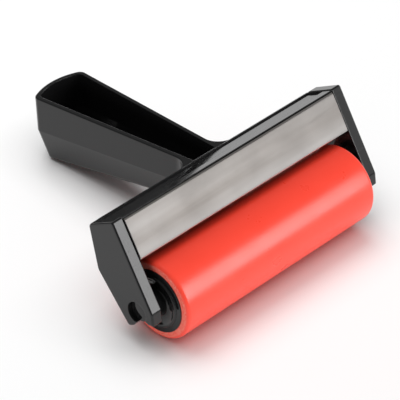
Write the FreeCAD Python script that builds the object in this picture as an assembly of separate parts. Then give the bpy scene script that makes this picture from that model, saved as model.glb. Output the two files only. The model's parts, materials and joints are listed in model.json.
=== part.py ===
import FreeCAD
import Part
import math
import os

# Rubber brayer: a soft roller that snaps into the forked head of a moulded handle.
# Working frame: X along the roller, R backwards from the face plate, H up from
# the top front edge of the head.  The finished tool is then tipped until it
# stands on its roller and on the rear end of its handle, as it lies on a bench.

# ---- driving dimensions, millimetres ----
HEAD_WIDTH = 119.4
CHEEK_THICK = 4.8
CHEEK_EDGE = 0.8
CHEEK_RISE = 0.35
CHEEK_SOFT = 0.3
HEAD_DEPTH = 14.3
HEAD_HEIGHT = 17.0
HEAD_TOP_SLOPE = 0.045
HEAD_OVERLAP = 1.5
HEAD_CORNER = 1.8
HEAD_SETBACK = 0.1
HEAD_SOFT = 0.2

AXIS_R = 7.6
AXIS_H = -34.05
SLEEVE_RADIUS = 15.6
SLEEVE_BORE = 12.0
SLEEVE_LENGTH = 99.8
SLEEVE_EDGE = 2.1
CORE_BORE = 9.8
ROLLER_CLEARANCE = 1.5

CAP_RADIUS = 12.4
CAP_FLANGE = 1.2
CAP_EDGE = 0.8
CAP_WEB = 3.0
CAP_SPIGOT = 9.0
CAP_HOLLOW = 6.5
SPIGOT_LEAD = 1.2
SPIGOT_TAPER = 0.6
DISH_RADIUS = 10.2
DISH_DEPTH = 1.5
DISH_LIP = 0.5
HUB_RADIUS = 5.2
HUB_FOOT = 0.6
HUB_REACH = 54.2
PIN_RADIUS = 4.35
PIN_REACH = 58.0
PIN_EDGE = 0.3
PIN_PLAY = 0.08

PLATE_FRONT = -0.35
PLATE_THICK = 0.8
PLATE_TOP = -0.5
PLATE_BOTTOM = -16.55
PLATE_FLANGE = 1.6
PLATE_GAP = 0.3
PLATE_PLAY = 0.2
PLATE_END_GAP = 0.4
PLATE_EDGE = 0.5

POCKET_FRONT = 4.6
POCKET_REAR_RIM = 1.0
POCKET_END_RIM = 0.4
POCKET_DEPTH = 0.6
CORE_OUT_WALL = 2.6
CORE_OUT_ROOF = 3.2
CORE_OUT_RIBS = 3
RIB_THICK = 2.0
RIB_FILLET = 1.0

RIM_START = -7.0
RIM_SLOPE = 0.537
HANDLE_TIP = 95.5
END_RADIUS = 25.0
END_CORNER = 2.4
RIM_HALF_START = 6.4
RIM_HALF_GROW = 0.067
CREASE_START = -17.3
CREASE_SLOPE = 0.470
FLOOR_START = -26.2
FLOOR_SLOPE = 0.403
SIDE_DRAFT = 2.9
END_DRAFT = 3.4
WALL = 1.8
FLOOR_WALL = 2.2
FLARE_HALF = 14.0
FLARE_REACH = 6.4
UNDER_FILLET = 2.2
UNDER_FILLET_FROM = 8.0
RIM_EDGE = 0.5
ROOT_OVERLAP = 0.1
ROOT_BACK = 3.0

HALF_HEAD = HEAD_WIDTH / 2
CHEEK_INSIDE = HALF_HEAD - CHEEK_THICK
HALF_SLEEVE = SLEEVE_LENGTH / 2
FLANGE_BACK = PLATE_FRONT + PLATE_THICK + PLATE_FLANGE + PLATE_PLAY

# how far a cutting shape runs past what it cuts
PAST = 2.0
FAR = 150.0
X_DIR = FreeCAD.Vector(1, 0, 0)


def point(x, r, h):
    return FreeCAD.Vector(x, r, h)


def box(x0, x1, r0, r1, h0, h1):
    return Part.makeBox(x1 - x0, r1 - r0, h1 - h0, point(x0, r0, h0))


def slab(outline, x0, x1):
    """A closed outline of (r, h) points stretched along X."""
    corners = [point(x0, r, h) for r, h in outline]
    face = Part.Face(Part.makePolygon(corners + corners[:1]))
    return face.extrude(point(x1 - x0, 0, 0))


def rod(radius, x0, x1):
    """A cylinder on the roller's axis."""
    return Part.makeCylinder(radius, x1 - x0, point(x0, AXIS_R, AXIS_H), X_DIR)


def turned(profile):
    """A closed (x, radius) profile turned about the roller's axis."""
    corners = [point(x, AXIS_R, AXIS_H + radius) for x, radius in profile]
    face = Part.Face(Part.makePolygon(corners + corners[:1]))
    return face.revolve(point(0, AXIS_R, AXIS_H), X_DIR, 360)


def edges_where(shape, test):
    return [edge for edge in shape.Edges if test(edge)]


def upright(edge):
    """True for a straight edge that runs along H only."""
    ends = edge.Vertexes[-1].Point - edge.Vertexes[0].Point
    return abs(ends.z) > 1 and abs(ends.x) + abs(ends.y) < 0.01


def head_top(r):
    return HEAD_TOP_SLOPE * r


# ---- the two cheeks that carry the roller ----
def rounded_outline(corners):
    """Wire in the plane X = 0 through (r, h, corner radius) points."""
    count = len(corners)
    tangents = []
    for i, (r, h, radius) in enumerate(corners):
        here = point(0, r, h)
        before = point(0, *corners[i - 1][:2])
        after = point(0, *corners[(i + 1) % count][:2])
        back = (before - here).normalize()
        ahead = (after - here).normalize()
        half = back.getAngle(ahead) / 2
        reach = radius / math.tan(half)
        middle = (back + ahead).normalize()
        depth = radius / math.sin(half) - radius
        tangents.append((here + back * reach, here + middle * depth, here + ahead * reach))
    edges = []
    for i in range(count):
        start, middle, end = tangents[i]
        edges.append(Part.Arc(start, middle, end).toShape())
        edges.append(Part.makeLine(end, tangents[(i + 1) % count][0]))
    return Part.Wire(edges)


def cheek_outline():
    """Straight front, rear edge with a knee, a hooked finger behind the slot."""
    return rounded_outline([
        (0.0, CHEEK_RISE, 0.7),
        (0.0, -35.7, 3.0),
        (2.0, -40.2, 0.6),
        (4.4, -39.2, 0.8),
        (7.6, -36.0, 0.4),
        (9.4, -37.3, 0.2),
        (12.7, -38.7, 0.6),
        (15.4, -38.8, 1.4),
        (19.2, -16.2, 5.0),
        (13.6, head_top(13.6) + CHEEK_RISE, 1.5),
    ])


def cheek(side):
    inner = side * CHEEK_INSIDE
    outline = Part.Face(cheek_outline())
    outline.translate(point(inner, 0, 0))
    body = outline.extrude(point(side * CHEEK_THICK, 0, 0))
    outer = side * HALF_HEAD
    picked = []
    for edge in body.Edges:
        on_outer = all(abs(v.X - outer) < 0.01 for v in edge.Vertexes)
        above_slot = edge.BoundBox.ZMax > -30 and edge.BoundBox.ZMin > -37.5
        if on_outer and above_slot:
            picked.append(edge)
    body = body.makeFillet(CHEEK_EDGE, picked)
    inward = edges_where(body, lambda e: all(abs(v.X - inner) < 0.01 for v in e.Vertexes))
    body = body.makeFillet(CHEEK_SOFT, inward)
    return body.cut(rod(PIN_RADIUS + PIN_PLAY, -HALF_HEAD - PAST, HALF_HEAD + PAST))


# ---- the cross head between the cheeks ----
def on_head_top(edge):
    """True for the long edges of the head's top, its pocket included."""
    level = all(abs(v.Z - head_top(v.Y)) < 0.01 for v in edge.Vertexes)
    return level and edge.BoundBox.XLength > 10


def head_bar():
    half = CHEEK_INSIDE + HEAD_OVERLAP
    bar = slab([
        (HEAD_SETBACK, 0.0),
        (HEAD_DEPTH, head_top(HEAD_DEPTH)),
        (HEAD_DEPTH, -HEAD_HEIGHT),
        (HEAD_SETBACK, -HEAD_HEIGHT),
    ], -half, half)
    corners = edges_where(bar, lambda e: upright(e) and e.Vertexes[0].Y > HEAD_DEPTH / 2)
    bar = bar.makeChamfer(HEAD_CORNER, corners)
    seat_back = PLATE_FRONT + PLATE_THICK + PLATE_GAP
    low = -HEAD_HEIGHT - PAST
    top = PLATE_TOP + PLATE_PLAY
    under_top = PLATE_TOP - PLATE_THICK - PLATE_PLAY
    under = PLATE_BOTTOM + PLATE_THICK + PLATE_PLAY
    for back, bottom, height in (
        (seat_back, low, top),
        (FLANGE_BACK, under_top, top),
        (FLANGE_BACK, low, under),
    ):
        bar = bar.cut(box(-half, half, -PAST, back, bottom, height))
    pocket_back = HEAD_DEPTH - POCKET_REAR_RIM
    pocket_half = CHEEK_INSIDE - POCKET_END_RIM
    pocket = slab([
        (POCKET_FRONT, PAST),
        (pocket_back, PAST),
        (pocket_back, head_top(HEAD_DEPTH) - POCKET_DEPTH),
        (POCKET_FRONT, head_top(POCKET_FRONT) - POCKET_DEPTH),
    ], -pocket_half, pocket_half)
    bar = bar.cut(pocket)
    return bar.makeFillet(HEAD_SOFT, edges_where(bar, on_head_top))


def underside_cores():
    """Hollows moulded into the underside of the head, with ribs left between."""
    start = FLANGE_BACK + CORE_OUT_WALL
    end = HEAD_DEPTH - CORE_OUT_WALL
    roof = -POCKET_DEPTH - CORE_OUT_ROOF
    span = 2 * (CHEEK_INSIDE - CORE_OUT_WALL)
    cell = (span - CORE_OUT_RIBS * RIB_THICK) / (CORE_OUT_RIBS + 1)
    hollows = []
    for i in range(CORE_OUT_RIBS + 1):
        x0 = -span / 2 + i * (cell + RIB_THICK)
        hollow = box(x0, x0 + cell, start, end, -HEAD_HEIGHT - PAST, roof)
        hollows.append(hollow.makeFillet(RIB_FILLET, edges_where(hollow, upright)))
    return hollows


# ---- the trough-shaped handle ----
RIM_ANGLE = math.atan(RIM_SLOPE)
COS_RIM = math.cos(RIM_ANGLE)
SIN_RIM = math.sin(RIM_ANGLE)


def on_level(x, along, start, slope):
    """A point seen square to the rim at (x, along), on the sloping level h = start + slope r."""
    r_rim = along * COS_RIM
    h_rim = RIM_START + along * SIN_RIM
    drop = (h_rim - start - slope * r_rim) / (COS_RIM + slope * SIN_RIM)
    return point(x, r_rim + drop * SIN_RIM, h_rim - drop * COS_RIM)


def half_width(along, inset):
    return RIM_HALF_START + RIM_HALF_GROW * along - inset


def end_point(x, inset_end):
    """The rounded rear end of the handle: along-value at half width x."""
    radius = END_RADIUS - inset_end
    return HANDLE_TIP - END_RADIUS + math.sqrt(radius * radius - x * x)


def handle_wire(start, slope, inset, end_inset, front, flare):
    """Outline of the handle on one level, from the head to the rounded end and back."""
    corner_x = half_width(HANDLE_TIP - 10, inset)
    corner_along = end_point(corner_x - END_CORNER * 0.7, end_inset)
    side_end = end_point(corner_x, end_inset) - END_CORNER * 0.7
    arc_x = corner_x - END_CORNER * 0.7
    bend_x = corner_x - END_CORNER * 0.13
    bend_along = (corner_along + side_end) / 2 + END_CORNER * 0.13
    flare_start = front + FLARE_REACH / COS_RIM
    flare_x = half_width(flare_start, inset)
    side_x = half_width(side_end, inset)

    def at(x, along):
        return on_level(x, along, start, slope)

    edges = []
    root = front - ROOT_BACK
    for side in (-1, 1):
        run = []
        if flare:
            reach = FLARE_HALF - flare_x
            turn = 1 - math.sqrt(0.5)
            mid_x = flare_x + reach * turn
            mid_along = front + (flare_start - front) * turn
            run.append(Part.makeLine(at(side * FLARE_HALF, root), at(side * FLARE_HALF, front)))
            run.append(Part.Arc(
                at(side * FLARE_HALF, front),
                at(side * mid_x, mid_along),
                at(side * flare_x, flare_start)).toShape())
            run.append(Part.makeLine(at(side * flare_x, flare_start), at(side * side_x, side_end)))
        else:
            root_x = half_width(root, inset)
            run.append(Part.makeLine(at(side * root_x, root), at(side * side_x, side_end)))
        run.append(Part.Arc(
            at(side * side_x, side_end),
            at(side * bend_x, bend_along),
            at(side * arc_x, corner_along)).toShape())
        edges.append(run)
    near, far = edges
    tip = at(0, end_point(0, end_inset))
    rear = Part.Arc(at(-arc_x, corner_along), tip, at(arc_x, corner_along)).toShape()
    root_edge = Part.makeLine(far[0].Vertexes[0].Point, near[0].Vertexes[0].Point)
    return Part.Wire(near + [rear] + far[::-1] + [root_edge])


def lies_on(edge, start, slope):
    """True for an edge whose ends and middle are on the level h = start + slope r."""
    spots = [edge.valueAt(edge.FirstParameter), edge.valueAt(edge.LastParameter)]
    spots.append(edge.valueAt((edge.FirstParameter + edge.LastParameter) / 2))
    return all(abs(p.z - start - slope * p.y) < 0.01 for p in spots)


def handle_outside():
    front = HEAD_DEPTH / COS_RIM
    rim = handle_wire(RIM_START, RIM_SLOPE, 0, 0, front, True)
    crease = handle_wire(CREASE_START, CREASE_SLOPE, 0, 0, front, True)
    floor = handle_wire(FLOOR_START, FLOOR_SLOPE, SIDE_DRAFT, END_DRAFT, front, True)
    body = Part.makeLoft([rim, crease, floor], True, True)
    behind = HEAD_DEPTH + UNDER_FILLET_FROM
    under = edges_where(
        body, lambda e: lies_on(e, FLOOR_START, FLOOR_SLOPE) and e.BoundBox.YMax > behind)
    body = body.makeFillet(UNDER_FILLET, under)
    lip = edges_where(
        body, lambda e: lies_on(e, RIM_START, RIM_SLOPE) and e.BoundBox.YMax > HEAD_DEPTH + 1)
    return body.makeFillet(RIM_EDGE, lip)


def behind_head(start):
    """Everything further back than start, for trimming what grows out of the head."""
    return box(-FAR, FAR, start, FAR, -FAR, FAR)


def handle_trough():
    front = HEAD_DEPTH / COS_RIM
    inset = SIDE_DRAFT + WALL
    floor_start = FLOOR_START + FLOOR_WALL / COS_RIM
    top = handle_wire(RIM_START + PAST, RIM_SLOPE, WALL, WALL, front, False)
    crease = handle_wire(CREASE_START, CREASE_SLOPE, WALL, WALL, front, False)
    floor = handle_wire(floor_start, FLOOR_SLOPE, inset, END_DRAFT + WALL, front, False)
    trough = Part.makeLoft([top, crease, floor], True, True)
    return trough.common(behind_head(HEAD_DEPTH + ROOT_OVERLAP))


def handle():
    root = HEAD_DEPTH - POCKET_REAR_RIM + ROOT_OVERLAP
    return handle_outside().common(behind_head(root))


def frame():
    """Handle, head and cheeks: one moulding."""
    body = head_bar()
    for side in (-1, 1):
        body = body.fuse(cheek(side))
    body = body.fuse(handle())
    body = body.cut(handle_trough())
    for hollow in underside_cores():
        body = body.cut(hollow)
    body = body.cut(rod(SLEEVE_RADIUS + ROLLER_CLEARANCE, -CHEEK_INSIDE, CHEEK_INSIDE))
    return body.removeSplitter()


# ---- the bright face plate, a shallow channel gripping the head ----
def face_plate():
    back = PLATE_FRONT + PLATE_THICK
    half = CHEEK_INSIDE - PLATE_END_GAP
    skin = box(-half, half, PLATE_FRONT, back, PLATE_BOTTOM, PLATE_TOP)
    upper = box(-half, half, back, back + PLATE_FLANGE, PLATE_TOP - PLATE_THICK, PLATE_TOP)
    lower = box(-half, half, back, back + PLATE_FLANGE, PLATE_BOTTOM, PLATE_BOTTOM + PLATE_THICK)
    plate = skin.fuse(upper).fuse(lower).removeSplitter()
    rounded = edges_where(plate, lambda e: all(abs(v.Y - PLATE_FRONT) < 0.01 for v in e.Vertexes))
    return plate.makeFillet(PLATE_EDGE, rounded)


# ---- the roller: rubber sleeve, stiff core and two plugged-in end caps ----
def roller_sleeve():
    sleeve = rod(SLEEVE_RADIUS, -HALF_SLEEVE, HALF_SLEEVE)
    sleeve = sleeve.cut(rod(SLEEVE_BORE, -HALF_SLEEVE - PAST, HALF_SLEEVE + PAST))
    outer = 2 * SLEEVE_RADIUS - 0.1
    rims = edges_where(
        sleeve, lambda e: e.BoundBox.ZLength > outer and e.BoundBox.XLength < 0.1)
    return sleeve.makeFillet(SLEEVE_EDGE, rims)


def roller_core():
    tube = rod(SLEEVE_BORE, -HALF_SLEEVE, HALF_SLEEVE)
    return tube.cut(rod(CORE_BORE, -HALF_SLEEVE - PAST, HALF_SLEEVE + PAST))


def end_cap(side):
    seat = HALF_SLEEVE
    face = seat + CAP_FLANGE
    profile = [
        (seat - CAP_SPIGOT, CAP_HOLLOW),
        (seat - CAP_SPIGOT, CORE_BORE - SPIGOT_TAPER),
        (seat - CAP_SPIGOT + SPIGOT_LEAD, CORE_BORE),
        (seat, CORE_BORE),
        (seat, CAP_RADIUS),
        (face - CAP_EDGE, CAP_RADIUS),
        (face, CAP_RADIUS - CAP_EDGE),
        (face, DISH_RADIUS + DISH_LIP),
        (face - DISH_LIP, DISH_RADIUS),
        (face - DISH_DEPTH, HUB_RADIUS + HUB_FOOT),
        (face - DISH_DEPTH + HUB_FOOT, HUB_RADIUS),
        (HUB_REACH, HUB_RADIUS),
        (HUB_REACH, PIN_RADIUS),
        (PIN_REACH - PIN_EDGE, PIN_RADIUS),
        (PIN_REACH, PIN_RADIUS - PIN_EDGE),
        (PIN_REACH, 0),
        (seat - CAP_WEB, 0),
        (seat - CAP_WEB, CAP_HOLLOW),
    ]
    return turned([(side * x, radius) for x, radius in profile])


# ---- assembly, tipped onto the roller and the handle's rear end ----
def lowest(shape, tilt):
    """Height of a shape's lowest point once the tool is tipped by tilt degrees."""
    turned_shape = shape.copy()
    turned_shape.rotate(point(0, 0, 0), X_DIR, -tilt)
    bench = Part.makePlane(2 * FAR, 2 * FAR, point(-FAR, -FAR, -FAR))
    return turned_shape.distToShape(bench)[0] - FAR


def resting_tilt(moulding, sleeve):
    low, high = 25.0, 50.0
    for _ in range(26):
        middle = (low + high) / 2
        if lowest(moulding, middle) > lowest(sleeve, middle):
            low = middle
        else:
            high = middle
    return (low + high) / 2


def main():
    nodes = {
        "frame": frame(),
        "face_plate": face_plate(),
        "roller_sleeve": roller_sleeve(),
        "roller_core": roller_core(),
        "end_cap_left": end_cap(-1),
        "end_cap_right": end_cap(1),
    }
    tilt = resting_tilt(nodes["frame"], nodes["roller_sleeve"])
    for shape in nodes.values():
        shape.rotate(point(0, 0, 0), X_DIR, -tilt)
    bounds = Part.makeCompound(list(nodes.values())).optimalBoundingBox(False)
    shift = point(0, -(bounds.YMin + bounds.YMax) / 2, -bounds.ZMin)
    os.makedirs("parts", exist_ok=True)
    for name, shape in nodes.items():
        shape.translate(shift)
        shape.exportStep("parts/" + name + ".step")
        print(name, shape.isValid(), len(shape.Solids), round(shape.Volume, 1), shape.BoundBox)
    print("tilt", tilt, "shift", shift)


main()
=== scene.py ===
import json
import math

import bmesh
import bpy
from mathutils import Euler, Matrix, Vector


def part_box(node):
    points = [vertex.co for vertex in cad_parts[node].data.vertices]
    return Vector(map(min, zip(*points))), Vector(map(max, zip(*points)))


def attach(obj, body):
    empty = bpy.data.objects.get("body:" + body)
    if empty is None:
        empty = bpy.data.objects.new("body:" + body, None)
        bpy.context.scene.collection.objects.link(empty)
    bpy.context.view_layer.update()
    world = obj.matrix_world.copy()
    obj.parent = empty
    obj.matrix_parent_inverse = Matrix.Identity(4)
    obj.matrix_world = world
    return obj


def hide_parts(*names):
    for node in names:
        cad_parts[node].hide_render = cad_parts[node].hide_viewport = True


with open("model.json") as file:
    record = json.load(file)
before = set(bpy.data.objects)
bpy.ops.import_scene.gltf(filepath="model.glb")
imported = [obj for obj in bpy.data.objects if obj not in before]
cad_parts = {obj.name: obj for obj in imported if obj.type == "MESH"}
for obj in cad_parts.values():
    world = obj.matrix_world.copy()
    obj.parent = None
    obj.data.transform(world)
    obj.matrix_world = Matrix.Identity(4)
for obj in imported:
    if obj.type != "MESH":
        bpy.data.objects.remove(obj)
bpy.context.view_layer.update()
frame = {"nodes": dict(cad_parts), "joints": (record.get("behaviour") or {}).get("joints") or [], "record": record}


# ---- Moulding: trough handle, cross head and both cheeks ----
# One injection moulding in black styrene, gloss from a polished tool. Its sharp
# outer corners are rounded a little by the tool and rubbed by handling, and are
# painted paler, partly for that wear and partly as a painted highlight; the skin
# has the faint ripple and hair scratches that such a part carries.
CORNER_SOFTNESS = 0.00035
BLACK_PLASTIC = (0.0075, 0.0075, 0.0078, 1.0)
RUBBED_HIGHLIT_PLASTIC = (0.022, 0.022, 0.023, 1.0)
DUST_GREY = (0.10, 0.10, 0.10, 1.0)
STYRENE_IOR = 1.45
MOULDING_GLOSS = 0.07
MOULDING_WORN = 0.26
RIPPLE_SCALE = 170.0
GRAIN_SCALE = 2600.0
HAZE_SCALE = 55.0
DUST_SCALE = 900.0
GRAIN_HEIGHT = 0.05
SCRATCH_DEPTH = 0.06
SCRATCH_ROUGHNESS = 0.22
DUST_SHARE = 0.35
MIX_COLOUR_A = 6
MIX_COLOUR_B = 7
MIX_COLOUR_OUT = 2
MIX_NUMBER_A = 2
MIX_NUMBER_B = 3
SCRATCH_RUNS = (((0.5, 0.3, 0.9), (1500, 40, 700)),
                ((1.2, -0.7, -0.4), (60, 1900, 800)))


def add_node(tree, kind, place=(0, 0), **settings):
    """A shader node, with its plain settings and its inputs by name."""
    node = tree.nodes.new(kind)
    node.location = place
    for key, value in settings.items():
        if hasattr(node, key):
            setattr(node, key, value)
        else:
            node.inputs[key.replace("_", " ")].default_value = value
    return node


def make_group(name, inputs, outputs):
    """An empty shader group with named inputs and outputs."""
    group = bpy.data.node_groups.new(name, "ShaderNodeTree")
    for label, kind, value in inputs:
        socket = group.interface.new_socket(label, in_out="INPUT", socket_type=kind)
        if value is not None:
            socket.default_value = value
    for label, kind in outputs:
        group.interface.new_socket(label, in_out="OUTPUT", socket_type=kind)
    source = group.nodes.new("NodeGroupInput")
    result = group.nodes.new("NodeGroupOutput")
    return group, source, result


def place_group(tree, group, **values):
    """A group placed in a material with that material's own values."""
    node = tree.nodes.new("ShaderNodeGroup")
    node.node_tree = group
    for key, value in values.items():
        node.inputs[key.replace("_", " ")].default_value = value
    return node


def new_material(name):
    """A material with its shader ready to wire."""
    made = bpy.data.materials.new(name)
    made.use_nodes = True
    shader = made.node_tree.nodes["Principled BSDF"]
    return made, made.node_tree, shader


def moulded_skin():
    """Ripple, hair scratches and handling haze of a moulded plastic surface."""
    group, source, result = make_group(
        "Moulded skin",
        [("Vector", "NodeSocketVector", None), ("Gloss", "NodeSocketFloat", 0.2),
         ("Haze", "NodeSocketFloat", 0.1), ("Ripple", "NodeSocketFloat", 0.5),
         ("Scratches", "NodeSocketFloat", 0.3)],
        [("Roughness", "NodeSocketFloat"), ("Height", "NodeSocketFloat"),
         ("Dust", "NodeSocketFloat")])
    link = group.links.new
    ripple = add_node(group, "ShaderNodeTexNoise", Scale=RIPPLE_SCALE, Detail=2.0, Roughness=0.5)
    fine = add_node(group, "ShaderNodeTexNoise", Scale=GRAIN_SCALE, Detail=2.0, Roughness=0.6)
    patches = add_node(group, "ShaderNodeTexNoise", Scale=HAZE_SCALE, Detail=4.0, Roughness=0.6)
    link(source.outputs["Vector"], ripple.inputs["Vector"])
    link(source.outputs["Vector"], fine.inputs["Vector"])
    link(source.outputs["Vector"], patches.inputs["Vector"])
    marks = None
    for turn, stretch in SCRATCH_RUNS:
        aim = add_node(group, "ShaderNodeMapping", Rotation=turn, Scale=stretch)
        hair = add_node(group, "ShaderNodeTexNoise", Scale=1.0, Detail=0.0)
        thin = add_node(group, "ShaderNodeMapRange", From_Min=0.74, From_Max=0.80)
        link(source.outputs["Vector"], aim.inputs["Vector"])
        link(aim.outputs["Vector"], hair.inputs["Vector"])
        link(hair.outputs["Fac"], thin.inputs["Value"])
        if marks is None:
            marks = thin.outputs["Result"]
        else:
            both = add_node(group, "ShaderNodeMath", operation="MAXIMUM")
            link(marks, both.inputs[0])
            link(thin.outputs["Result"], both.inputs[1])
            marks = both.outputs["Value"]
    scratch = add_node(group, "ShaderNodeMath", operation="MULTIPLY")
    link(marks, scratch.inputs[0])
    link(source.outputs["Scratches"], scratch.inputs[1])
    haze = add_node(group, "ShaderNodeMapRange", From_Min=0.38, From_Max=0.72)
    link(patches.outputs["Fac"], haze.inputs["Value"])
    hazed = add_node(group, "ShaderNodeMath", operation="MULTIPLY_ADD")
    link(haze.outputs["Result"], hazed.inputs[0])
    link(source.outputs["Haze"], hazed.inputs[1])
    link(source.outputs["Gloss"], hazed.inputs[2])
    rough = add_node(group, "ShaderNodeMath", operation="MULTIPLY_ADD")
    rough.inputs[1].default_value = SCRATCH_ROUGHNESS
    link(scratch.outputs["Value"], rough.inputs[0])
    link(hazed.outputs["Value"], rough.inputs[2])
    link(rough.outputs["Value"], result.inputs["Roughness"])
    swell = add_node(group, "ShaderNodeMath", operation="MULTIPLY")
    link(ripple.outputs["Fac"], swell.inputs[0])
    link(source.outputs["Ripple"], swell.inputs[1])
    grain = add_node(group, "ShaderNodeMath", operation="MULTIPLY_ADD")
    grain.inputs[1].default_value = GRAIN_HEIGHT
    link(fine.outputs["Fac"], grain.inputs[0])
    link(swell.outputs["Value"], grain.inputs[2])
    cut = add_node(group, "ShaderNodeMath", operation="MULTIPLY_ADD")
    cut.inputs[1].default_value = -SCRATCH_DEPTH
    link(scratch.outputs["Value"], cut.inputs[0])
    link(grain.outputs["Value"], cut.inputs[2])
    link(cut.outputs["Value"], result.inputs["Height"])
    specks = add_node(group, "ShaderNodeTexVoronoi", Scale=DUST_SCALE)
    dots = add_node(group, "ShaderNodeMapRange", From_Min=0.10, From_Max=0.04)
    sparse = add_node(group, "ShaderNodeMath", operation="MULTIPLY")
    link(source.outputs["Vector"], specks.inputs["Vector"])
    link(specks.outputs["Distance"], dots.inputs["Value"])
    link(dots.outputs["Result"], sparse.inputs[0])
    link(haze.outputs["Result"], sparse.inputs[1])
    link(sparse.outputs["Value"], result.inputs["Dust"])
    return group


def edge_rub_and_highlight():
    """A mask of the corners, for rubbed wear and a painted highlight, and the normal that rounds them."""
    group, source, result = make_group(
        "Edge wear",
        [("Vector", "NodeSocketVector", None), ("Width", "NodeSocketFloat", 0.0004),
         ("Breakup", "NodeSocketFloat", 260.0), ("Amount", "NodeSocketFloat", 0.5)],
        [("Mask", "NodeSocketFloat"), ("Normal", "NodeSocketVector")])
    link = group.links.new
    soft = add_node(group, "ShaderNodeBevel", samples=6)
    link(source.outputs["Width"], soft.inputs["Radius"])
    real = add_node(group, "ShaderNodeNewGeometry")
    same = add_node(group, "ShaderNodeVectorMath", operation="DOT_PRODUCT")
    link(soft.outputs["Normal"], same.inputs[0])
    link(real.outputs["Normal"], same.inputs[1])
    corner = add_node(group, "ShaderNodeMapRange", From_Min=0.995, From_Max=0.90)
    link(same.outputs["Value"], corner.inputs["Value"])
    rubbed = add_node(group, "ShaderNodeTexNoise", Detail=4.0, Roughness=0.7)
    link(source.outputs["Vector"], rubbed.inputs["Vector"])
    link(source.outputs["Breakup"], rubbed.inputs["Scale"])
    broken = add_node(group, "ShaderNodeMapRange", From_Min=0.40, From_Max=0.66)
    link(rubbed.outputs["Fac"], broken.inputs["Value"])
    here = add_node(group, "ShaderNodeMath", operation="MULTIPLY")
    link(corner.outputs["Result"], here.inputs[0])
    link(broken.outputs["Result"], here.inputs[1])
    scaled = add_node(group, "ShaderNodeMath", operation="MULTIPLY", use_clamp=True)
    link(here.outputs["Value"], scaled.inputs[0])
    link(source.outputs["Amount"], scaled.inputs[1])
    link(scaled.outputs["Value"], result.inputs["Mask"])
    link(soft.outputs["Normal"], result.inputs["Normal"])
    return group


skin_group = moulded_skin()
rub_and_highlight_group = edge_rub_and_highlight()


def black_plastic(name, gloss, haze, ripple, scratches, wear_and_highlight):
    """Gloss black moulded styrene with corners painted paler, partly rubbed wear and partly a painted highlight,
    and a little dust.
    """
    made, tree, shader = new_material(name)
    link = tree.links.new
    where = add_node(tree, "ShaderNodeTexCoord")
    skin = place_group(tree, skin_group, Gloss=gloss, Haze=haze, Ripple=ripple,
                       Scratches=scratches)
    rubbed_and_highlit = place_group(tree, rub_and_highlight_group, Width=CORNER_SOFTNESS, Amount=wear_and_highlight)
    link(where.outputs["Object"], skin.inputs["Vector"])
    link(where.outputs["Object"], rubbed_and_highlit.inputs["Vector"])
    # The corner mask makes the corners paler: partly rubbed wear, partly a painted highlight along the edges.
    paint = add_node(tree, "ShaderNodeMix", data_type="RGBA")
    paint.inputs[MIX_COLOUR_A].default_value = BLACK_PLASTIC
    paint.inputs[MIX_COLOUR_B].default_value = RUBBED_HIGHLIT_PLASTIC
    dusty = add_node(tree, "ShaderNodeMix", data_type="RGBA")
    dusty.inputs[MIX_COLOUR_B].default_value = DUST_GREY
    few = add_node(tree, "ShaderNodeMath", operation="MULTIPLY")
    few.inputs[1].default_value = DUST_SHARE
    link(rubbed_and_highlit.outputs["Mask"], paint.inputs[0])
    link(skin.outputs["Dust"], few.inputs[0])
    link(few.outputs["Value"], dusty.inputs[0])
    link(paint.outputs[MIX_COLOUR_OUT], dusty.inputs[MIX_COLOUR_A])
    link(dusty.outputs[MIX_COLOUR_OUT], shader.inputs["Base Color"])
    rough = add_node(tree, "ShaderNodeMix", data_type="FLOAT")
    rough.inputs[MIX_NUMBER_B].default_value = MOULDING_WORN
    link(rubbed_and_highlit.outputs["Mask"], rough.inputs[0])
    link(skin.outputs["Roughness"], rough.inputs[MIX_NUMBER_A])
    link(rough.outputs[0], shader.inputs["Roughness"])
    bump = add_node(tree, "ShaderNodeBump", Strength=0.3, Distance=0.00005)
    link(skin.outputs["Height"], bump.inputs["Height"])
    link(rubbed_and_highlit.outputs["Normal"], bump.inputs["Normal"])
    link(bump.outputs["Normal"], shader.inputs["Normal"])
    shader.inputs["IOR"].default_value = STYRENE_IOR
    return made


moulding_black = black_plastic("Moulding black", gloss=MOULDING_GLOSS, haze=0.06, ripple=0.4,
                               scratches=0.4, wear_and_highlight=0.5)
frame["nodes"]["frame"].data.materials[0] = moulding_black


# ---- Face plate ----
# A strip of bright rolled steel pressed over the front of the head. Its long
# edges are folded back into two grooves, its face is very slightly crowned, and
# the grain of the roll runs along it.
plate_mount = next(m for m in frame["record"]["mounts"] if m["name"] == "plate_front")
PLATE_OUT = Vector(plate_mount["axis"])
PLATE_UP = Vector((0.0, PLATE_OUT.z, -PLATE_OUT.y))
PLATE_MIDDLE = Vector(plate_mount["pos_m"])
PLATE_TIP = math.atan2(PLATE_OUT.z, -PLATE_OUT.y)
PLATE_HALF_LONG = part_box("face_plate")[1].x
PLATE_HALF_TALL = 0.008025
PLATE_THICK = 0.0008
PLATE_FOLD = 0.0024
PLATE_BEND = 0.0009
PLATE_CROWN = 0.00005
PLATE_BAYS = 24
PLATE_BURR = 0.00012
PAINTED_HIGHLIGHT_START = 0.0025
PAINTED_HIGHLIGHT_FULL = 0.006
ROLL_GRAIN = (9.0, 9.0, 4200.0)
ROLL_BANDS = (14.0, 14.0, 130.0)
NEAR = 1e-6
STEEL_BRIGHT = (0.60, 0.575, 0.555, 1.0)
STEEL_DULL = (0.43, 0.395, 0.37, 1.0)


def arc(middle, radius, start, end, steps):
    """Points on a circle from one angle to another, in degrees."""
    spots = []
    for i in range(steps + 1):
        angle = math.radians(start + (end - start) * i / steps)
        spots.append((middle[0] + radius * math.cos(angle), middle[1] + radius * math.sin(angle)))
    return spots


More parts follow.
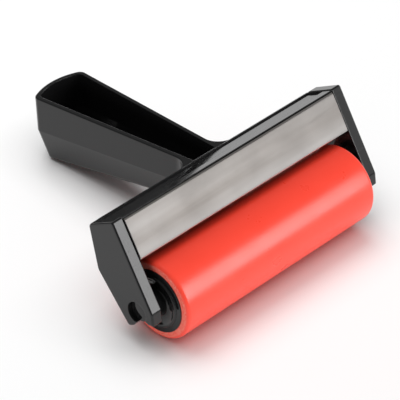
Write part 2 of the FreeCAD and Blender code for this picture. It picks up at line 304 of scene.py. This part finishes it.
def finished(shape, name, material, body, sharp_from):
    """A new piece from a bmesh: outward normals, soft shading and its body."""
    bmesh.ops.recalc_face_normals(shape, faces=shape.faces[:])
    mesh = bpy.data.meshes.new(name)
    shape.to_mesh(mesh)
    shape.free()
    mesh.shade_smooth()
    mesh.set_sharp_from_angle(angle=math.radians(sharp_from))
    mesh.materials.append(material)
    piece = bpy.data.objects.new(name, mesh)
    bpy.context.scene.collection.objects.link(piece)
    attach(piece, body)
    return piece


def plate_outline():
    """Section of the folded strip as (depth behind the face, height)."""
    flat = PLATE_HALF_TALL - PLATE_BEND
    inside = PLATE_HALF_TALL - PLATE_THICK
    tuck = PLATE_BEND - PLATE_THICK
    lower = arc((PLATE_BEND + PLATE_CROWN, -flat), PLATE_BEND, 270, 180, 8)
    face = [(PLATE_CROWN * (i / 6) ** 2, flat * i / 6) for i in range(-5, 6)]
    upper = arc((PLATE_BEND + PLATE_CROWN, flat), PLATE_BEND, 180, 90, 8)
    back_up = arc((PLATE_BEND, inside - tuck), tuck, 90, 180, 3)
    back_down = arc((PLATE_BEND, tuck - inside), tuck, 180, 270, 3)
    return ([(PLATE_FOLD, -PLATE_HALF_TALL)] + lower + face + upper
            + [(PLATE_FOLD, PLATE_HALF_TALL), (PLATE_FOLD, inside)]
            + back_up + back_down + [(PLATE_FOLD, -inside)])


def rolled_steel(name):
    """Bright strip with grain and soft bands along it, and a painted highlight that brightens it towards its lower
    edge.
    """
    made, tree, shader = new_material(name)
    link = tree.links.new
    where = add_node(tree, "ShaderNodeTexCoord")
    level = add_node(tree, "ShaderNodeMapping", vector_type="POINT",
                     Rotation=(PLATE_TIP, 0.0, 0.0))
    link(where.outputs["Object"], level.inputs["Vector"])
    lines = add_node(tree, "ShaderNodeMapping", Scale=ROLL_GRAIN)
    link(level.outputs["Vector"], lines.inputs["Vector"])
    grain = add_node(tree, "ShaderNodeTexNoise", Scale=1.0, Detail=3.0, Roughness=0.65)
    link(lines.outputs["Vector"], grain.inputs["Vector"])
    bands = add_node(tree, "ShaderNodeMapping", Scale=ROLL_BANDS)
    link(level.outputs["Vector"], bands.inputs["Vector"])
    cloud = add_node(tree, "ShaderNodeTexNoise", Scale=1.0, Detail=2.0, Roughness=0.5)
    link(bands.outputs["Vector"], cloud.inputs["Vector"])
    shade = add_node(tree, "ShaderNodeMapRange", From_Min=0.3, From_Max=0.75)
    link(cloud.outputs["Fac"], shade.inputs["Value"])
    height = add_node(tree, "ShaderNodeVectorMath", operation="DOT_PRODUCT")
    height.inputs[1].default_value = PLATE_UP
    link(where.outputs["Object"], height.inputs[0])
    middle = PLATE_MIDDLE.dot(PLATE_UP)
    # Painted highlight: the steel's colour is made brighter towards its lower edge.
    painted_lower_highlight = add_node(tree, "ShaderNodeMapRange", From_Min=middle - PAINTED_HIGHLIGHT_START,
                    From_Max=middle - PAINTED_HIGHLIGHT_FULL, To_Max=0.5)
    link(height.outputs["Value"], painted_lower_highlight.inputs["Value"])
    bands_and_painted_highlight = add_node(tree, "ShaderNodeMath", operation="ADD", use_clamp=True)
    link(shade.outputs["Result"], bands_and_painted_highlight.inputs[0])
    link(painted_lower_highlight.outputs["Result"], bands_and_painted_highlight.inputs[1])
    tint = add_node(tree, "ShaderNodeMix", data_type="RGBA")
    tint.inputs[MIX_COLOUR_A].default_value = STEEL_DULL
    tint.inputs[MIX_COLOUR_B].default_value = STEEL_BRIGHT
    link(bands_and_painted_highlight.outputs["Value"], tint.inputs[0])
    link(tint.outputs[MIX_COLOUR_OUT], shader.inputs["Base Color"])
    rubs = place_group(tree, skin_group, Gloss=0.0, Haze=0.05, Ripple=0.0, Scratches=0.12)
    link(where.outputs["Object"], rubs.inputs["Vector"])
    rough = add_node(tree, "ShaderNodeMapRange", From_Min=0.25, From_Max=0.75,
                     To_Min=0.27, To_Max=0.33)
    link(grain.outputs["Fac"], rough.inputs["Value"])
    both = add_node(tree, "ShaderNodeMath", operation="ADD")
    link(rough.outputs["Result"], both.inputs[0])
    link(rubs.outputs["Roughness"], both.inputs[1])
    link(both.outputs["Value"], shader.inputs["Roughness"])
    bump = add_node(tree, "ShaderNodeBump", Strength=0.1, Distance=0.00002)
    link(grain.outputs["Fac"], bump.inputs["Height"])
    link(bump.outputs["Normal"], shader.inputs["Normal"])
    shader.inputs["Metallic"].default_value = 1.0
    shader.inputs["Anisotropic"].default_value = 0.3
    return made


strip = bmesh.new()
strip_end = []
for depth, height in plate_outline():
    spot = PLATE_MIDDLE - PLATE_OUT * depth + PLATE_UP * height
    strip_end.append(strip.verts.new((-PLATE_HALF_LONG, spot.y, spot.z)))
growing = [strip.faces.new(strip_end)]
for bay in range(PLATE_BAYS):
    grown = bmesh.ops.extrude_face_region(strip, geom=growing)["geom"]
    moved = [item for item in grown if isinstance(item, bmesh.types.BMVert)]
    bmesh.ops.translate(strip, verts=moved, vec=(2 * PLATE_HALF_LONG / PLATE_BAYS, 0.0, 0.0))
    if bay:
        bmesh.ops.delete(strip, geom=growing, context="FACES_ONLY")
    growing = [item for item in grown if isinstance(item, bmesh.types.BMFace)]
ends = [e for e in strip.edges if abs(abs(e.verts[0].co.x) - PLATE_HALF_LONG) < NEAR
        and abs(e.verts[0].co.x - e.verts[1].co.x) < NEAR]
bmesh.ops.bevel(strip, geom=ends, offset=PLATE_BURR, segments=1, profile=0.5,
                affect="EDGES", material=-1)
face_plate = finished(strip, "folded_plate", rolled_steel("Rolled steel"),
                      "holder", 35)
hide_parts("face_plate")


# ---- Rubber sleeve ----
# Soft red rubber cast on the core and ground true, with its end corners eased.
# The ground ends are paler, speckled and rougher than the working face.
spin = frame["joints"][0]
AXLE = Vector(spin["pos_m"])
SLEEVE_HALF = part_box("roller_sleeve")[1].x
SLEEVE_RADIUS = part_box("roller_sleeve")[1].z - AXLE.z
SLEEVE_BORE = 0.012
SLEEVE_EASE = 0.0018
SLEEVE_BAYS = 20
RUBBER_RED = (0.87, 0.054, 0.029, 1.0)
RUBBER_LIGHT = (0.91, 0.064, 0.036, 1.0)
RUBBER_PALE = (0.90, 0.25, 0.19, 1.0)
GROUND_RIM = 0.00012
GROUND_ROUGHNESS = 0.75
RUBBER_MOTTLE = 90.0
RUBBER_GRAIN = 3200.0
SLEEVE_STEPS = 160


def spun(profile, steps, closed):
    """A piece turned about the roller's axle from (x, radius) points."""
    shape = bmesh.new()
    dots = [shape.verts.new((x, AXLE.y, AXLE.z + radius)) for x, radius in profile]
    lines = [shape.edges.new(pair) for pair in zip(dots, dots[1:])]
    if closed:
        lines.append(shape.edges.new((dots[-1], dots[0])))
    bmesh.ops.spin(shape, geom=dots + lines, cent=AXLE, axis=(1.0, 0.0, 0.0),
                   angle=2 * math.pi, steps=steps, use_merge=True)
    bmesh.ops.remove_doubles(shape, verts=shape.verts[:], dist=NEAR)
    return shape


def sleeve_profile():
    """Bore, flat ends and the long working face with eased corners."""
    straight = SLEEVE_HALF - SLEEVE_EASE
    corner = SLEEVE_RADIUS - SLEEVE_EASE
    right = arc((straight, corner), SLEEVE_EASE, 0, 90, 12)
    left = arc((-straight, corner), SLEEVE_EASE, 90, 180, 12)
    face = [(straight - 2 * straight * i / SLEEVE_BAYS, SLEEVE_RADIUS)
            for i in range(1, SLEEVE_BAYS)]
    return [(SLEEVE_HALF, SLEEVE_BORE)] + right + face + left + [(-SLEEVE_HALF, SLEEVE_BORE)]


def ground_rubber(name):
    """Red rubber, softly glossy, with a fine grain and paler speckled matt ends."""
    made, tree, shader = new_material(name)
    link = tree.links.new
    where = add_node(tree, "ShaderNodeTexCoord")
    mottle = add_node(tree, "ShaderNodeTexNoise", Scale=RUBBER_MOTTLE, Detail=4.0, Roughness=0.6)
    link(where.outputs["Object"], mottle.inputs["Vector"])
    fine = add_node(tree, "ShaderNodeTexNoise", Scale=RUBBER_GRAIN, Detail=2.0, Roughness=0.6)
    link(where.outputs["Object"], fine.inputs["Vector"])
    tint = add_node(tree, "ShaderNodeMix", data_type="RGBA")
    tint.inputs[MIX_COLOUR_A].default_value = RUBBER_RED
    tint.inputs[MIX_COLOUR_B].default_value = RUBBER_LIGHT
    link(mottle.outputs["Fac"], tint.inputs[0])
    apart = add_node(tree, "ShaderNodeSeparateXYZ")
    link(where.outputs["Object"], apart.inputs[0])
    side = add_node(tree, "ShaderNodeMath", operation="ABSOLUTE")
    link(apart.outputs["X"], side.inputs[0])
    end = add_node(tree, "ShaderNodeMapRange", From_Min=SLEEVE_HALF - 2 * GROUND_RIM,
                   From_Max=SLEEVE_HALF - GROUND_RIM / 2)
    link(side.outputs["Value"], end.inputs["Value"])
    speckle = add_node(tree, "ShaderNodeMapRange", From_Min=0.42, From_Max=0.56)
    link(fine.outputs["Fac"], speckle.inputs["Value"])
    ground = add_node(tree, "ShaderNodeMath", operation="MULTIPLY")
    link(end.outputs["Result"], ground.inputs[0])
    link(speckle.outputs["Result"], ground.inputs[1])
    pale = add_node(tree, "ShaderNodeMix", data_type="RGBA")
    pale.inputs[MIX_COLOUR_B].default_value = RUBBER_PALE
    link(ground.outputs["Value"], pale.inputs[0])
    link(tint.outputs[MIX_COLOUR_OUT], pale.inputs[MIX_COLOUR_A])
    link(pale.outputs[MIX_COLOUR_OUT], shader.inputs["Base Color"])
    face = add_node(tree, "ShaderNodeMapRange", From_Min=0.3, From_Max=0.7,
                    To_Min=0.27, To_Max=0.34)
    link(mottle.outputs["Fac"], face.inputs["Value"])
    rough = add_node(tree, "ShaderNodeMix", data_type="FLOAT")
    rough.inputs[MIX_NUMBER_B].default_value = GROUND_ROUGHNESS
    link(end.outputs["Result"], rough.inputs[0])
    link(face.outputs["Result"], rough.inputs[MIX_NUMBER_A])
    link(rough.outputs[0], shader.inputs["Roughness"])
    bump = add_node(tree, "ShaderNodeBump", Strength=0.25, Distance=0.00003)
    link(fine.outputs["Fac"], bump.inputs["Height"])
    link(bump.outputs["Normal"], shader.inputs["Normal"])
    return made


sleeve = finished(spun(sleeve_profile(), SLEEVE_STEPS, True), "ground_sleeve",
                  ground_rubber("Ground rubber"), "roller", 50)
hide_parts("roller_sleeve")


# ---- Core ----
# A stiff black tube carries the rubber from end to end. Only its ends could be
# seen, and the caps cover those.
core_black = black_plastic("Core black", gloss=0.20, haze=0.08, ripple=0.4,
                           scratches=0.3, wear_and_highlight=0.3)
frame["nodes"]["roller_core"].data.materials[0] = core_black


# ---- End caps ----
# A glossy cap is pushed into each end of the core. It has a thin flange, a dished
# face with a raised rim, a hub and the pin that turns in the cheek.
CAP_SEAT = SLEEVE_HALF
CAP_FACE = CAP_SEAT + 0.0012
CAP_RADIUS = 0.0124
CAP_RING = CAP_SEAT + 0.0006
RING_ROUND = 0.0003
CAP_PLUG = 0.0098
PLUG_LEAD = 0.0012
PLUG_TAPER = 0.0006
CAP_HOLLOW = 0.0065
CAP_PLUG_END = CAP_SEAT - 0.009
CAP_WEB = CAP_SEAT - 0.003
DISC_RADIUS = 0.0104
DISC_ROUND = 0.00055
DISH_RADIUS = 0.0095
DISH_FLOOR = CAP_FACE - 0.0015
DISH_STEPS = 8
LIP_EASE = 0.00004
HUB_RADIUS = 0.0052
HUB_FOOT = 0.0009
HUB_FACE = 0.0542
HUB_ROUND = 0.0003
PIN_RADIUS = 0.00435
PIN_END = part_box("end_cap_right")[1].x
CAP_STEPS = 128


def cap_profile():
    """From the hollow plug, over the flange and the raised rim of the dish, to the pin."""
    profile = [(CAP_WEB, 0.0), (CAP_WEB, CAP_HOLLOW), (CAP_PLUG_END, CAP_HOLLOW),
               (CAP_PLUG_END, CAP_PLUG - PLUG_TAPER), (CAP_PLUG_END + PLUG_LEAD, CAP_PLUG),
               (CAP_SEAT, CAP_PLUG), (CAP_SEAT, CAP_RADIUS)]
    profile += arc((CAP_RING - RING_ROUND, CAP_RADIUS - RING_ROUND), RING_ROUND, 90, 0, 5)
    profile.append((CAP_RING, DISC_RADIUS))
    profile += arc((CAP_FACE - DISC_ROUND, DISC_RADIUS - DISC_ROUND), DISC_ROUND, 90, 0, 8)[1:]
    profile.append((CAP_FACE - LIP_EASE, DISH_RADIUS))
    lip_x, lip_r = profile[-1]
    foot_r = HUB_RADIUS + HUB_FOOT
    for i in range(1, DISH_STEPS):
        inward = i / DISH_STEPS
        profile.append((DISH_FLOOR + (lip_x - DISH_FLOOR) * (1 - inward) ** 2,
                        lip_r + (foot_r - lip_r) * inward))
    profile += arc((DISH_FLOOR + HUB_FOOT, foot_r), HUB_FOOT, 180, 270, 6)
    profile += arc((HUB_FACE - HUB_ROUND, HUB_RADIUS - HUB_ROUND), HUB_ROUND, 90, 0, 4)
    profile.append((HUB_FACE, PIN_RADIUS))
    profile += arc((PIN_END - HUB_ROUND, PIN_RADIUS - HUB_ROUND), HUB_ROUND, 90, 0, 4)
    profile.append((PIN_END, 0.0))
    return profile


cap_black = black_plastic("Cap black", gloss=0.06, haze=0.04, ripple=0.3,
                          scratches=0.3, wear_and_highlight=0.3)
for name, side in (("end_cap_left", -1), ("end_cap_right", 1)):
    turned = spun([(side * x, radius) for x, radius in cap_profile()], CAP_STEPS, False)
    cap = finished(turned, "dished_" + name, cap_black, "roller", 40)
    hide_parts(name)


# ---- Bench ----
# A plain pale sheet of paper under the tool, wide enough to run out of every
# view, and a trace uneven in its whiteness.
BENCH_HALF = 6.0
PAPER_DULL = (0.92, 0.92, 0.92, 1.0)
PAPER_WHITE = (0.94, 0.94, 0.94, 1.0)
bench_mesh = bpy.data.meshes.new("bench")
sheet = bmesh.new()
bmesh.ops.create_grid(sheet, x_segments=1, y_segments=1, size=BENCH_HALF)
sheet.to_mesh(bench_mesh)
sheet.free()
bench = bpy.data.objects.new("bench", bench_mesh)
bpy.context.scene.collection.objects.link(bench)
bench_paper, bench_tree, bench_shader = new_material("Bench paper")
bench_grain = add_node(bench_tree, "ShaderNodeTexNoise", Scale=6.0, Detail=3.0)
bench_tint = add_node(bench_tree, "ShaderNodeMix", data_type="RGBA")
bench_tint.inputs[MIX_COLOUR_A].default_value = PAPER_DULL
bench_tint.inputs[MIX_COLOUR_B].default_value = PAPER_WHITE
bench_where = add_node(bench_tree, "ShaderNodeTexCoord")
bench_tree.links.new(bench_where.outputs["Object"], bench_grain.inputs["Vector"])
bench_tree.links.new(bench_grain.outputs["Fac"], bench_tint.inputs[0])
bench_tree.links.new(bench_tint.outputs[MIX_COLOUR_OUT], bench_shader.inputs["Base Color"])
bench_shader.inputs["Roughness"].default_value = 0.9
bench_mesh.materials.append(bench_paper)


# ---- Studio light ----
# Dim white surroundings and soft lamps. The broad lamp, at the front right, lights
# the roller; the moulding, the plate and the bench have lamps of their own in its
# place, so each one's brightness is set apart. Two more lamps fill the shadows.
SKY_STRENGTH = 0.22
SKY_WHITE = (1.0, 1.0, 1.0, 1.0)
world = bpy.data.worlds.new("Studio")
bpy.context.scene.world = world
world.use_nodes = True
world.node_tree.nodes["Background"].inputs["Color"].default_value = SKY_WHITE
world.node_tree.nodes["Background"].inputs["Strength"].default_value = SKY_STRENGTH


def soft_lamp(name, turn, rise, distance, size, radiance):
    """A soft lamp facing the tool, turned from -Y towards +X and raised, in degrees."""
    around = math.radians(turn)
    up = math.radians(rise)
    away = Vector((math.sin(around) * math.cos(up), -math.cos(around) * math.cos(up), math.sin(up)))
    width, height = size
    data = bpy.data.lights.new(name, "AREA")
    data.shape = "RECTANGLE"
    data.size = width
    data.size_y = height
    data.energy = radiance * width * height * math.pi
    lamp = bpy.data.objects.new(name, data)
    lamp.rotation_mode = "QUATERNION"
    lamp.rotation_quaternion = away.to_track_quat("Z", "Y")
    lamp.location = away * distance
    lamp.visible_camera = False
    bpy.context.scene.collection.objects.link(lamp)
    return lamp


def light_only(lamp, pieces, state):
    """The lamp lights just these pieces (INCLUDE) or all but them (EXCLUDE)."""
    group = bpy.data.collections.new(lamp.name + " linking")
    for piece in pieces:
        group.objects.link(piece)
    for item in group.collection_objects:
        item.light_linking.link_state = state
    lamp.light_linking.receiver_collection = group


moulding = frame["nodes"]["frame"]
broad = soft_lamp("Broad lamp", turn=25.0, rise=24.5, distance=1.5,
                  size=(1.1, 0.88), radiance=6.4)
light_only(broad, [face_plate, moulding, bench], "EXCLUDE")
moulding_lamp = soft_lamp("Moulding lamp", turn=21.0, rise=24.5, distance=1.5,
                          size=(0.8, 0.88), radiance=6.8)
light_only(moulding_lamp, [moulding], "INCLUDE")
cheek_lamp = soft_lamp("Cheek lamp", turn=46.0, rise=20.0, distance=1.5,
                       size=(0.4, 0.7), radiance=0.9)
light_only(cheek_lamp, [moulding], "INCLUDE")
side_lamp = soft_lamp("Side lamp", turn=84.0, rise=18.0, distance=1.5,
                      size=(1.4, 0.6), radiance=5.0)
light_only(side_lamp, [moulding], "INCLUDE")
plate_lamp = soft_lamp("Plate lamp", turn=36.5, rise=19.0, distance=1.5,
                       size=(0.3, 0.6), radiance=1.7)
light_only(plate_lamp, [face_plate], "INCLUDE")
bench_lamp = soft_lamp("Bench lamp", turn=0.0, rise=89.9, distance=2.0,
                       size=(2.5, 2.5), radiance=1.55)
light_only(bench_lamp, [bench], "INCLUDE")
left_fill = soft_lamp("Left fill", turn=-75.0, rise=12.0, distance=1.2,
                      size=(0.8, 0.4), radiance=4.0)
left_fill.visible_glossy = False
light_only(left_fill, [bench], "EXCLUDE")
top_fill = soft_lamp("Top fill", turn=180.0, rise=68.0, distance=1.2,
                     size=(0.8, 0.8), radiance=3.2)
top_fill.visible_glossy = False


# ---- Camera ----
# A long lens looking down on the tool from the front left, over a metre away, so
# that parallel edges stay almost parallel.
CAMERA_PLACE = (-0.64536, -0.56191, 0.71716)
CAMERA_TURN = (50.2114, -4.1994, -46.3874)
LENS_MM = 270.0
FILM_MM = 36.0
view_camera = bpy.data.cameras.new("View")
view_camera.lens = LENS_MM
view_camera.sensor_width = FILM_MM
view_camera.clip_start = 0.05
view_camera.clip_end = 50.0
camera = bpy.data.objects.new("View", view_camera)
camera.location = CAMERA_PLACE
camera.rotation_euler = Euler([math.radians(v) for v in CAMERA_TURN])
bpy.context.scene.collection.objects.link(camera)
bpy.context.scene.camera = camera
bpy.context.scene.view_settings.view_transform = "Standard"
